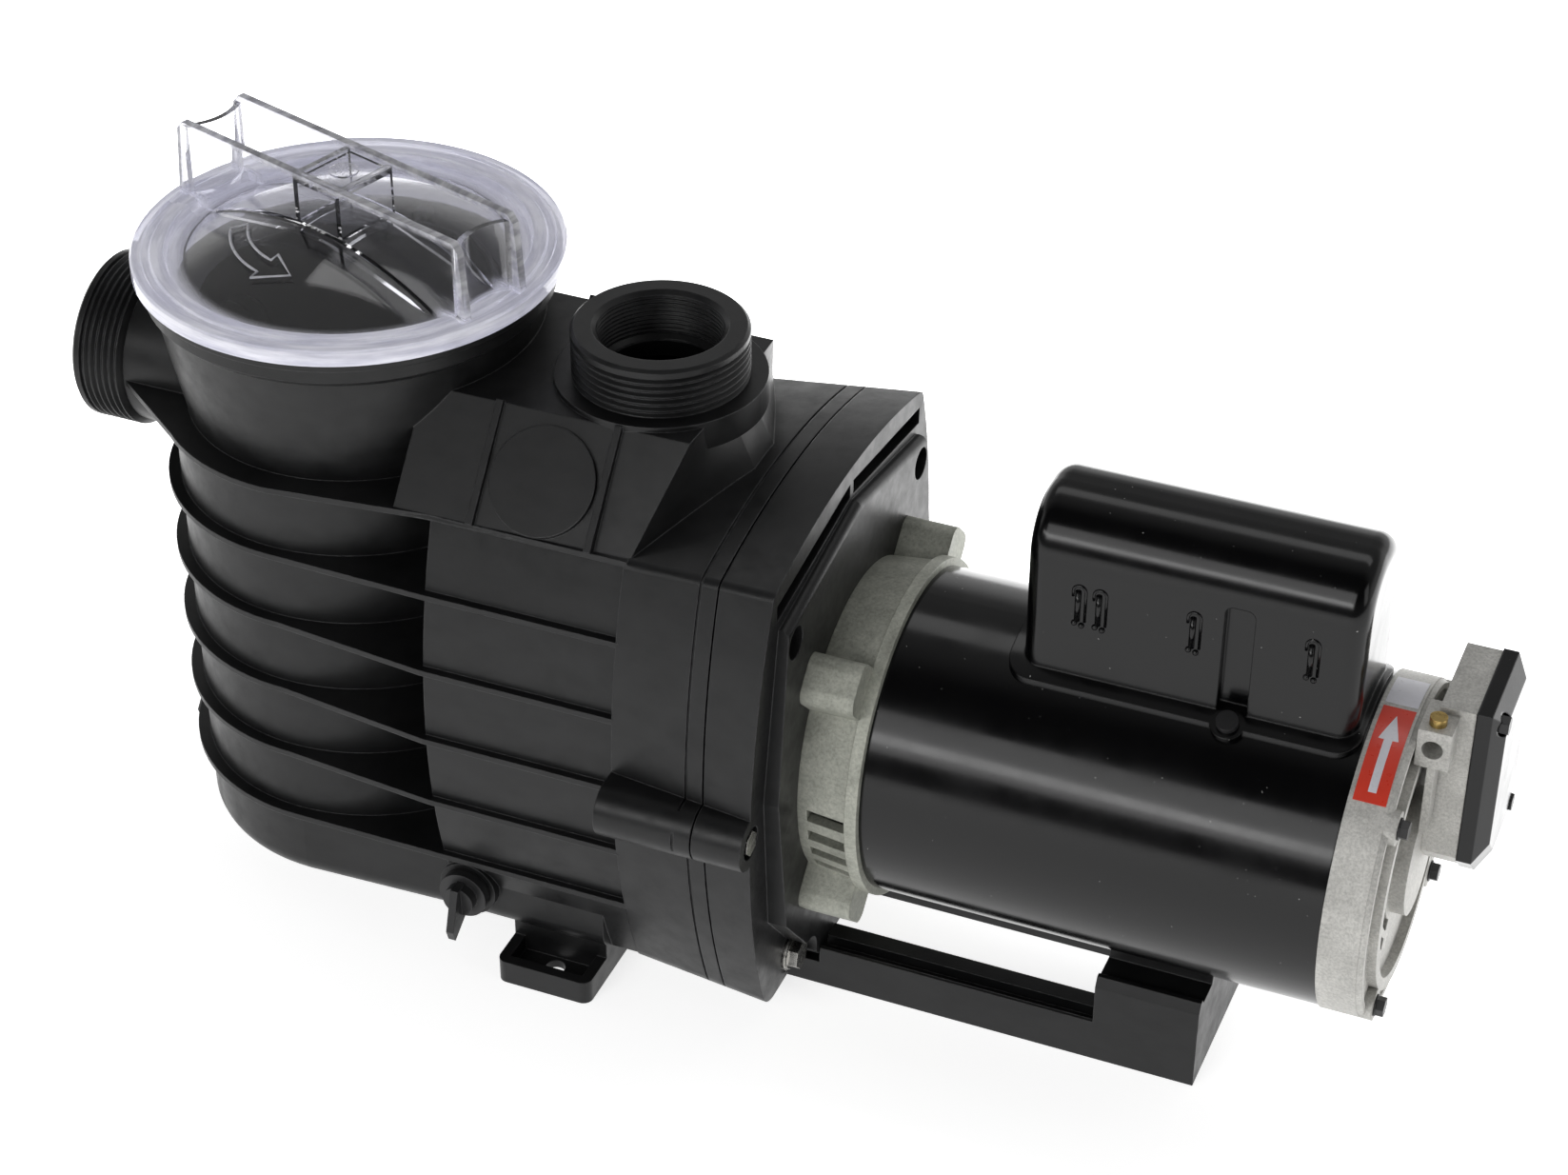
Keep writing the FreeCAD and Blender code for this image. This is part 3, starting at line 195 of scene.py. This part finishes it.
def clear_plastic():
    """Clear in the dome and grip, milky and streaked with lilac in the thick rim, with a painted
    glow in the rim and painted highlights along the grip edges.
    """
    f = Finish("clear_plastic", (0.97, 0.97, 0.99), 0.03, ior=1.49)
    shift = f.add("ShaderNodeVectorMath", operation="SUBTRACT")
    shift.inputs[1].default_value = (POT_X, 0, 0)
    f.link(f.place, shift.inputs[0])
    parts = f.add("ShaderNodeSeparateXYZ")
    f.link(shift.outputs["Vector"], parts.inputs["Vector"])
    flat = f.add("ShaderNodeVectorMath", operation="MULTIPLY")
    flat.inputs[1].default_value = (1, 1, 0)
    f.link(shift.outputs["Vector"], flat.inputs[0])
    radius = f.add("ShaderNodeVectorMath", operation="LENGTH")
    f.link(flat.outputs["Vector"], radius.inputs[0])
    turn = f.add("ShaderNodeMath", operation="ARCTAN2")
    f.link(parts.outputs["Y"], turn.inputs[0])
    f.link(parts.outputs["X"], turn.inputs[1])
    slow = f.add("ShaderNodeMath", operation="MULTIPLY")
    slow.inputs[1].default_value = 0.012
    f.link(turn.outputs[0], slow.inputs[0])
    polar = f.add("ShaderNodeCombineXYZ")
    f.link(radius.outputs["Value"], polar.inputs["X"])
    f.link(slow.outputs[0], polar.inputs["Y"])
    f.link(parts.outputs["Z"], polar.inputs["Z"])
    streaks = f.add("ShaderNodeTexNoise")
    streaks.inputs["Scale"].default_value = 210
    streaks.inputs["Detail"].default_value = 4
    f.link(polar.outputs["Vector"], streaks.inputs["Vector"])
    rim = f.span(radius.outputs["Value"], 0.0, 1.0, 77 * MM, 85 * MM)
    low = f.span(parts.outputs["Z"], 1.0, 0.0, 339.2 * MM, 341 * MM)
    milky_rim_and_glow = f.add("ShaderNodeMath", operation="MULTIPLY")
    f.link(rim, milky_rim_and_glow.inputs[0])
    f.link(low, milky_rim_and_glow.inputs[1])
    # grip edges: painted highlight, pale lilac and less clear, joined with the milky rim
    grip_edge_highlight = grip_edges(f, shift.outputs["Vector"], parts.outputs["Z"])
    milk_and_edge_highlight = f.add("ShaderNodeMath", operation="MAXIMUM")
    f.link(milky_rim_and_glow.outputs[0], milk_and_edge_highlight.inputs[0])
    f.link(grip_edge_highlight, milk_and_edge_highlight.inputs[1])
    streaked_milk_and_edge_highlight = f.add("ShaderNodeMath", operation="MULTIPLY")
    f.link(milk_and_edge_highlight.outputs[0], streaked_milk_and_edge_highlight.inputs[0])
    f.link(f.span(streaks.outputs["Fac"], 0.6, 1.0, 0.35, 0.65), streaked_milk_and_edge_highlight.inputs[1])
    f.link(f.span(streaked_milk_and_edge_highlight.outputs[0], 0.99, 0.25, 0, 1), f.shader.inputs["Transmission Weight"])
    lilac = f.ramp(streaks.outputs["Fac"], [(0.35, (0.62, 0.62, 0.70)), (0.65, (0.93, 0.93, 0.98))])
    color = f.mix_color(milk_and_edge_highlight.outputs[0], (0.97, 0.97, 0.99), lilac)
    f.link(color, f.shader.inputs["Base Color"])
    # painted glow: the milky rim emits a faint lilac-white light though it is no lamp
    f.shader.inputs["Emission Color"].default_value = (0.86, 0.86, 1.0, 1)
    f.link(f.span(milky_rim_and_glow.outputs[0], 0.0, 0.13, 0, 1), f.shader.inputs["Emission Strength"])
    f.roughness_from(f.noise(140, 2), 0.01, 0.05)
    f.bump(f.noise(45, 2), 0.12 * MM, 0.3)
    return f.material


def grip_edges(f, place, height):
    """1 along the top and end edges of the two grip plates, where a painted highlight makes the
    plastic pale and less clear.
    """
    a = math.radians(GRIP_TURN)
    reach = f.add("ShaderNodeVectorMath", operation="DOT_PRODUCT")
    reach.inputs[1].default_value = (math.cos(a), math.sin(a), 0)
    f.link(place, reach.inputs[0])
    size = f.add("ShaderNodeMath", operation="ABSOLUTE")
    f.link(reach.outputs["Value"], size.inputs[0])
    ends = f.span(size.outputs[0], 0.0, 0.7, 89 * MM, 92 * MM)
    above = f.span(height, 0.0, 1.0, 340 * MM, 342 * MM)
    sides = f.add("ShaderNodeMath", operation="MULTIPLY")
    f.link(ends, sides.inputs[0])
    f.link(above, sides.inputs[1])
    tops = f.span(height, 0.0, 0.8, 374.5 * MM, 377 * MM)
    either = f.add("ShaderNodeMath", operation="MAXIMUM")
    f.link(sides.outputs[0], either.inputs[0])
    f.link(tops, either.inputs[1])
    return either.outputs[0]


def frosted():
    """Fine raised lines of the dome, which catch the light."""
    f = Finish("frosted", (0.9, 0.9, 0.95), 0.3, transmission_weight=0.35, ior=1.49)
    f.color_from(f.noise(300, 2), [(0.3, (0.75, 0.75, 0.82)), (0.7, (0.95, 0.95, 1.0))])
    f.roughness_from(f.noise(200, 2), 0.25, 0.4)
    return f.material


def enamel(name, orange_peel):
    """Gloss black enamel with a slight orange peel and a few specks of dust."""
    black = (0.0015, 0.0015, 0.0018)
    f = Finish(name, black, 0.14, coat_weight=0.06, coat_roughness=0.05)
    f.shader.inputs["Specular IOR Level"].default_value = 0.38
    speck = f.span(f.noise(620, 1, 0.4), 0.0, 1.0, 0.805, 0.825)
    color = f.mix_color(speck, black, (0.35, 0.35, 0.34))
    f.link(color, f.shader.inputs["Base Color"])
    f.roughness_from(f.noise(30, 4, 0.6), 0.12, 0.22)
    f.rounded(1.2 * MM)
    f.bump(f.noise(orange_peel, 2), 0.03 * MM, 0.3)
    return f.material


def casting(name, dark, light, grain):
    """Sand-cast aluminium, dull and granular."""
    f = Finish(name, light, 0.55, metallic=0.35)
    tone = f.noise(70, 5, 0.65)
    base = f.ramp(tone, [(0.3, dark), (0.7, light)])
    pits = f.ramp(f.noise(grain, 3, 0.7), [(0.30, grey(0.55)), (0.62, grey(1.0))])
    mix = f.add("ShaderNodeMix", data_type="RGBA", blend_type="MULTIPLY")
    mix.inputs["Factor"].default_value = 0.7
    f.link(base, mix.inputs[6])
    f.link(pits, mix.inputs[7])
    f.link(mix.outputs[2], f.shader.inputs["Base Color"])
    f.roughness_from(tone, 0.42, 0.62)
    f.rounded(0.7 * MM)
    f.bump(f.noise(grain, 3, 0.7), 0.22 * MM, 0.6)
    return f.material


def metal(name, color, roughness, scale=300, stretch=None):
    f = Finish(name, color, roughness, metallic=1.0)
    brushed = f.noise(scale, 3, 0.6, stretch)
    dark = tuple(0.72 * c for c in color)
    f.color_from(brushed, [(0.3, dark), (0.7, color)])
    f.roughness_from(brushed, roughness * 0.75, roughness * 1.3)
    f.rounded(0.3 * MM)
    f.bump(brushed, 0.02 * MM, 0.4)
    return f.material


def plastic(name, color, roughness, grain=500):
    f = Finish(name, color, roughness)
    dark = tuple(0.7 * c for c in color)
    f.color_from(f.noise(60, 3, 0.6), [(0.3, dark), (0.7, color)])
    f.roughness_from(f.noise(120, 3), roughness * 0.85, roughness * 1.2)
    f.rounded(0.5 * MM)
    f.bump(f.noise(grain, 2), 0.03 * MM, 0.3)
    return f.material


def film(name, color):
    """Printed self-adhesive film with a light sheen."""
    f = Finish(name, color, 0.32, coat_weight=0.3, coat_roughness=0.15)
    wear_and_highlight = tuple(0.9 * c for c in color)
    f.color_from(f.noise(90, 4, 0.6), [(0.3, wear_and_highlight), (0.65, color)])
    f.roughness_from(f.noise(300, 2), 0.26, 0.4)
    f.bump(f.noise(160, 2), 0.03 * MM, 0.25)
    return f.material


MATERIALS = {
    "moulding": moulding(),
    "clear": clear_plastic(),
    "frosted": frosted(),
    "enamel": enamel("enamel", 260),
    "cover_gloss": enamel("cover_gloss", 420),
    "adapter_cast": casting("adapter_cast", (0.34, 0.35, 0.30), (0.56, 0.57, 0.50), 620),
    "shield_cast": casting("shield_cast", (0.50, 0.493, 0.465), (0.72, 0.71, 0.675), 760),
    "stainless": metal("stainless", (0.62, 0.61, 0.58), 0.26),
    "brass": metal("brass", (0.62, 0.44, 0.16), 0.3),
    "steel": metal("steel", (0.34, 0.34, 0.35), 0.38),
    "copper": metal("copper", (0.62, 0.26, 0.11), 0.35, 500, (0.1, 1, 1)),
    "black_oxide": plastic("black_oxide", (0.022, 0.022, 0.023), 0.34, 700),
    "rubber": plastic("rubber", (0.018, 0.018, 0.018), 0.62, 800),
    "basket": plastic("basket", (0.006, 0.006, 0.007), 0.34),
    "plug": plastic("plug", (0.02, 0.02, 0.021), 0.4),
    "internal": plastic("internal", (0.05, 0.05, 0.054), 0.45),
    "ceramic": plastic("ceramic", (0.80, 0.79, 0.74), 0.25),
    "can": plastic("can", (0.03, 0.03, 0.034), 0.3),
    "red_film": film("red_film", (0.78, 0.055, 0.028)),
    "white_film": film("white_film", (0.80, 0.80, 0.86)),
}

NODE_MATERIALS = {
    "moulding": ["pump_housing", "discharge_port", "suction_port", "seal_plate",
                 "motor_support"],
    "clear": ["lid"],
    "enamel": ["motor_shell", "capacitor_cover"],
    "cover_gloss": ["wiring_cover"],
    "adapter_cast": ["motor_adapter"],
    "shield_cast": ["end_shield", "wiring_box"],
    "stainless": ["seal_plate_bolts", "impeller_screw", "adapter_bolts", "support_screws",
                  "motor_shaft", "seal_rotor"],
    "brass": ["bolt_inserts", "ground_screw"],
    "steel": ["stator_core", "rotor", "front_bearing", "rear_bearing", "capacitor_clip"],
    "copper": ["stator_windings"],
    "black_oxide": ["through_bolts", "cover_screws", "wiring_cover_screws"],
    "rubber": ["lid_ring", "housing_gasket", "diffuser_ring", "front_drain_seal",
               "side_drain_seal", "slinger", "motor_pad"],
    "basket": ["strainer_basket", "basket_bail"],
    "plug": ["front_drain_plug", "side_drain_plug"],
    "internal": ["diffuser", "impeller", "motor_fan", "terminal_board"],
    "ceramic": ["seal_seat"],
    "can": ["capacitor"],
    "red_film": ["arrow_label"],
    "white_film": ["blank_label"],
}

for finish_name, members in NODE_MATERIALS.items():
    for member in members:
        for slot in nodes[member].material_slots:
            slot.material = MATERIALS[finish_name]


# ---- mesh tools ----
def add_piece(name, bm, material, body, smooth=True):
    mesh = bpy.data.meshes.new(name)
    bmesh.ops.recalc_face_normals(bm, faces=bm.faces)
    bm.to_mesh(mesh)
    bm.free()
    mesh.materials.append(MATERIALS[material])
    for polygon in mesh.polygons:
        polygon.use_smooth = smooth
    piece = bpy.data.objects.new(name, mesh)
    bpy.context.scene.collection.objects.link(piece)
    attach(piece, body)
    return piece


def sweep(bm, path, normals, radius, closed=False, sides=8):
    """Round bead along a path; normals point away from the surface it lies on."""
    count = len(path)
    rings = []
    for i, point in enumerate(path):
        before = path[i - 1] if i or closed else path[i]
        after = path[(i + 1) % count] if i < count - 1 or closed else path[i]
        run = (after - before).normalized()
        up = normals[i].normalized()
        side = run.cross(up).normalized()
        ring = []
        for k in range(sides):
            a = 2 * math.pi * k / sides
            ring.append(bm.verts.new(point + radius * (math.cos(a) * side + math.sin(a) * up)))
        rings.append(ring)
    spans = count if closed else count - 1
    for i in range(spans):
        first = rings[i]
        second = rings[(i + 1) % count]
        for k in range(sides):
            n = (k + 1) % sides
            bm.faces.new((first[k], first[n], second[n], second[k]))
    if not closed:
        bm.faces.new(rings[0])
        bm.faces.new(rings[-1][::-1])


def ball(bm, centre, radius, squash=1.0, axis=Vector((0, 1, 0))):
    made = bmesh.ops.create_uvsphere(bm, u_segments=16, v_segments=10, radius=radius)
    turn = Vector((0, 0, 1)).rotation_difference(axis).to_matrix().to_4x4()
    scale = Matrix.Diagonal((1, 1, squash, 1))
    for vert in made["verts"]:
        vert.co = turn @ scale @ vert.co + centre


# ---- embossed arrow on the strainer dome ----
DOME_R = 178 * MM
DOME_TOP = 353 * MM
ARROW_MID_R = 51 * MM
ARROW_TAIL, ARROW_NECK, ARROW_TIP = -158, -111, -93
SHAFT_HALF = 4.2 * MM
HEAD_HALF = 8.6 * MM
ARROW_BEAD = 0.7 * MM


def on_dome(radius, angle, lift=0.0):
    a = math.radians(angle)
    z = DOME_TOP - DOME_R + math.sqrt(DOME_R ** 2 - radius ** 2)
    point = Vector((POT_X + radius * math.cos(a), radius * math.sin(a), z))
    out = (point - Vector((POT_X, 0, DOME_TOP - DOME_R))).normalized()
    return point + out * lift, out


def dome_arrow():
    steps = 12
    outline = []
    for i in range(steps + 1):
        angle = ARROW_TAIL + (ARROW_NECK - ARROW_TAIL) * i / steps
        outline.append((ARROW_MID_R + SHAFT_HALF, angle))
    outline.append((ARROW_MID_R + HEAD_HALF, ARROW_NECK))
    outline.append((ARROW_MID_R, ARROW_TIP))
    outline.append((ARROW_MID_R - HEAD_HALF, ARROW_NECK))
    for i in range(steps + 1):
        angle = ARROW_NECK + (ARROW_TAIL - ARROW_NECK) * i / steps
        outline.append((ARROW_MID_R - SHAFT_HALF, angle))
    bm = bmesh.new()
    places = [on_dome(r, a, 0.15 * MM) for r, a in outline]
    sweep(bm, [p for p, n in places], [n for p, n in places], ARROW_BEAD, closed=True)
    return add_piece("dome_arrow", bm, "frosted", "lid")


dome_arrow()


# ---- pressed louvres on the capacitor cover ----
LOUVRE_X = [239.4, 249.1, 292.7, 346.6]
LOUVRE_LOW, LOUVRE_HIGH = 241 * MM, 261 * MM
LOUVRE_HALF = 3.0 * MM
LOUVRE_BEAD, LOUVRE_BAR, LOUVRE_BALL = 0.75 * MM, 1.5 * MM, 1.5 * MM
COVER_HIGH_Y = 31 * MM


def louvre(bm, x, side):
    """Raised bar with a hook-shaped bead over it and two lugs at its foot."""
    wall = side * COVER_HIGH_Y
    out = Vector((0, side, 0))
    top = LOUVRE_HIGH - LOUVRE_HALF
    path = [Vector((x + LOUVRE_HALF, wall, LOUVRE_LOW + 1 * MM))]
    for i in range(9):
        a = math.pi * i / 8
        path.append(Vector((x + LOUVRE_HALF * math.cos(a), wall,
                            top + LOUVRE_HALF * math.sin(a))))
    path.append(Vector((x - LOUVRE_HALF, wall, top - 3 * MM)))
    sweep(bm, path, [out] * len(path), LOUVRE_BEAD)
    bar_x = x - 0.6 * MM
    bar = [Vector((bar_x, wall, LOUVRE_LOW + 1 * MM)), Vector((bar_x, wall, top))]
    sweep(bm, bar, [out] * 2, LOUVRE_BAR)
    for dx, dz in ((-1.8, -0.4), (1.6, -1.2)):
        ball(bm, Vector((x + dx * MM, wall, LOUVRE_LOW + dz * MM)), LOUVRE_BALL, 0.9)


def cover_louvres(side, name):
    bm = bmesh.new()
    for x in LOUVRE_X:
        louvre(bm, x * MM, side)
    return add_piece(name, bm, "enamel", "pump")


cover_louvres(-1, "near_louvres")
cover_louvres(1, "far_louvres")


# ---- plain white arrow on the red label ----
LABEL_FACE_R = 80.64 * MM
LABEL_TAIL, LABEL_NECK, LABEL_TIP = 126.5, 107.5, 97.0


def label_arrow():
    """Printed arrow that follows the curve of the end shield's rim."""
    mid_x = (LABEL_LOW.x + LABEL_HIGH.x) / 2
    shaft, head = 1.9 * MM, 4.6 * MM
    rows = []
    steps = 10
    for i in range(steps + 1):
        rows.append((LABEL_TAIL + (LABEL_NECK - LABEL_TAIL) * i / steps, shaft))
    barb = LABEL_NECK - 0.1
    for i in range(steps):
        t = i / steps
        rows.append((barb + (LABEL_TIP - barb) * t, head * (1 - t)))
    rows.append((LABEL_TIP, 0.02 * MM))
    bm = bmesh.new()
    levels = []
    for lift in (-0.02 * MM, 0.06 * MM):
        level = []
        for angle, half in rows:
            # angles run from +Y over the top towards -Y, seen from the rear
            a = math.radians(angle)
            y = (LABEL_FACE_R + lift) * math.cos(a)
            z = SHAFT_Z + (LABEL_FACE_R + lift) * math.sin(a)
            level.append([bm.verts.new((mid_x + s * half, y, z)) for s in (-1, 1)])
        levels.append(level)
    for k in range(len(rows) - 1):
        for level in levels:
            bm.faces.new((level[k][0], level[k][1], level[k + 1][1], level[k + 1][0]))
        for s in (0, 1):
            low, high = levels
            bm.faces.new((low[k][s], low[k + 1][s], high[k + 1][s], high[k][s]))
    for k in (0, len(rows) - 1):
        low, high = levels
        bm.faces.new((low[k][0], low[k][1], high[k][1], high[k][0]))
    return add_piece("label_arrow", bm, "white_film", "pump", smooth=False)


label_arrow()


# ---- floor, light and camera ----
def ramp_along(tree, axis, place, start, end, low, high):
    """Value that runs from low to high between two places along an axis."""
    split = tree.nodes.new("ShaderNodeSeparateXYZ")
    tree.links.new(place, split.inputs["Vector"])
    node = tree.nodes.new("ShaderNodeMapRange")
    node.interpolation_type = "SMOOTHSTEP"
    for key, value in (("From Min", start), ("From Max", end), ("To Min", low), ("To Max", high)):
        node.inputs[key].default_value = value
    tree.links.new(split.outputs[axis], node.inputs["Value"])
    return node.outputs["Result"]


def stage_floor():
    """Pale paper that glows a little, more so towards the back."""
    bpy.ops.mesh.primitive_plane_add(size=14, location=(0, 0, -0.2 * MM))
    floor = bpy.context.active_object
    floor.name = "floor"
    f = Finish("floor_paper", grey(0.93), 0.75)
    f.color_from(f.noise(3, 2), [(0.3, grey(0.925)), (0.7, grey(0.94))])
    f.shader.inputs["Emission Color"].default_value = (1, 1, 1, 1)
    glow = ramp_along(f.tree, "Y", f.place, -0.1, 0.5, *FLOOR_GLOW)
    f.link(glow, f.shader.inputs["Emission Strength"])
    floor.data.materials.append(f.material)


def area_light(name, place, target, size, power, color=(1, 1, 1)):
    data = bpy.data.lights.new(name, "AREA")
    data.shape = "RECTANGLE"
    data.size, data.size_y = size
    data.energy = power
    data.color = color
    light = bpy.data.objects.new(name, data)
    bpy.context.scene.collection.objects.link(light)
    light.location = place
    aim = Vector(target) - Vector(place)
    light.rotation_mode = "QUATERNION"
    light.rotation_quaternion = aim.to_track_quat("-Z", "Y")
    return light


FLOOR_GLOW = (0.72, 2.2)
ROOM = (0.13, 1.0)
BACKDROP = (0.8, 0.28)


def studio():
    """White backdrop low behind, dim room in front and above, strip lights."""
    world = bpy.data.worlds.new("studio_world")
    bpy.context.scene.world = world
    world.use_nodes = True
    tree = world.node_tree
    background = tree.nodes["Background"]
    background.inputs["Color"].default_value = (1.0, 1.0, 1.0, 1.0)
    place = tree.nodes.new("ShaderNodeTexCoord").outputs["Generated"]
    both = tree.nodes.new("ShaderNodeMath")
    both.operation = "MULTIPLY"
    tree.links.new(ramp_along(tree, "Y", place, -0.35, 0.12, *ROOM), both.inputs[0])
    tree.links.new(ramp_along(tree, "Z", place, 0.25, 0.5, *BACKDROP), both.inputs[1])
    tree.links.new(both.outputs[0], background.inputs["Strength"])
    area_light("strip", (-0.35, -1.55, 0.87), (0.15, 0, 0.15), (1.7, 0.2), 4.4)
    area_light("top_strip", (0.15, 0.55, 1.6), (0.1, 0, 0.15), (1.8, 0.4), 3)
    area_light("front_fill", (-0.2, -2.4, 1.5), (0.0, 0, 0.15), (1.8, 1.4), 16)
    area_light("left_softbox", (-1.8, -0.4, 0.9), (-0.1, 0, 0.2), (0.5, 0.9), 0.7)
    area_light("right_softbox", (1.8, -0.6, 0.9), (0.3, 0, 0.15), (0.5, 0.9), 1.5)


CAMERA_AZ, CAMERA_EL, CAMERA_ROLL = 22.0135, 35.2612, 0.3442
CAMERA_AIM = Vector((0.08993, 0.0, 0.19615))
CAMERA_DISTANCE = 1.65916
CAMERA_LENS = 80.10
CAMERA_SHIFT = (-0.00693, 0.00375)


def studio_camera():
    az, el, roll = (math.radians(v) for v in (CAMERA_AZ, CAMERA_EL, CAMERA_ROLL))
    back = Vector((math.sin(az) * math.cos(el), -math.cos(az) * math.cos(el), math.sin(el)))
    level = (-back).cross(Vector((0, 0, 1))).normalized()
    over = level.cross(-back)
    right = level * math.cos(roll) + over * math.sin(roll)
    up = over * math.cos(roll) - level * math.sin(roll)
    data = bpy.data.cameras.new("camera")
    data.lens = CAMERA_LENS
    data.sensor_width = 36
    data.shift_x, data.shift_y = CAMERA_SHIFT
    data.clip_start = 0.05
    data.clip_end = 50
    camera = bpy.data.objects.new("camera", data)
    bpy.context.scene.collection.objects.link(camera)
    turn = Matrix((right, up, back)).transposed().to_4x4()
    camera.matrix_world = Matrix.Translation(CAMERA_AIM + back * CAMERA_DISTANCE) @ turn
    bpy.context.scene.camera = camera


stage_floor()
studio()
studio_camera()
bpy.context.scene.view_settings.view_transform = "Standard"
